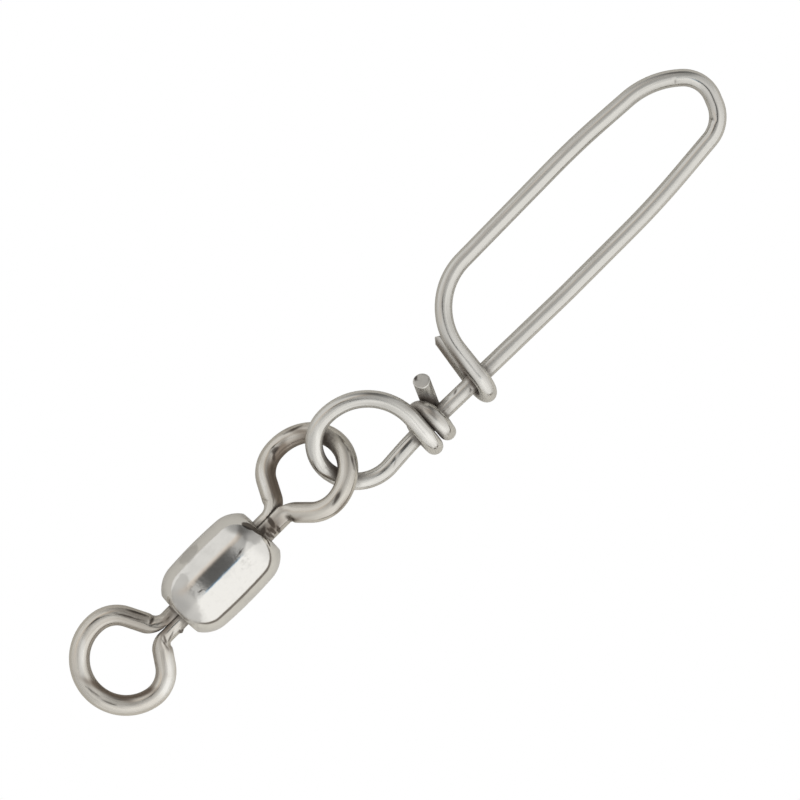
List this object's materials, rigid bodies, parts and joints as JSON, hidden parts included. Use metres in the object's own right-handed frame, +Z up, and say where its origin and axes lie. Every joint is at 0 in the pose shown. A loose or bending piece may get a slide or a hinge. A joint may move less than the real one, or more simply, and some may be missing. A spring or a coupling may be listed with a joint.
{
  "type": "fishing snap swivel",
  "caption": "Barrel swivel with a turning wire eye at each end, one of them linked to a one-piece wire snap that hooks over its own shank.",
  "frame": {"origin": "middle of the underside of the whole part as it lies flat", "axes": "+X from the line eye to the far bend of the snap, +Z up from the surface that it lies on"},
  "size_m": [0.06, 0.0092, 0.0056],
  "materials": {
    "barrel": "bright nickel plate",
    "eye_wire": "drawn wire, nickel plated",
    "snap_wire": "drawn stainless spring wire"
  },
  "bodies": {
    "barrel": {"barrel": "barrel"},
    "line_eye": {"line_eye": "eye_wire"},
    "snap_eye": {"snap_eye": "eye_wire"},
    "snap": {"snap": "snap_wire"}
  },
  "joints": [
    {"name": "line_eye_spin", "type": "hinge", "parent": "barrel", "child": "line_eye", "pos_m": [-0.02136, 0.00024, 0.00279], "axis": [-1, 0, 0], "continuous": true},
    {"name": "snap_eye_spin", "type": "hinge", "parent": "barrel", "child": "snap_eye", "pos_m": [-0.0135, 0.00024, 0.00279], "axis": [1, 0, 0], "continuous": true},
    {"name": "snap_swing", "type": "hinge", "parent": "snap_eye", "child": "snap", "pos_m": [-0.00876, 0.00087, 0.0024], "axis": [0, 0.5255, 0.8508], "range_deg": [-40, 80]}
  ]
}
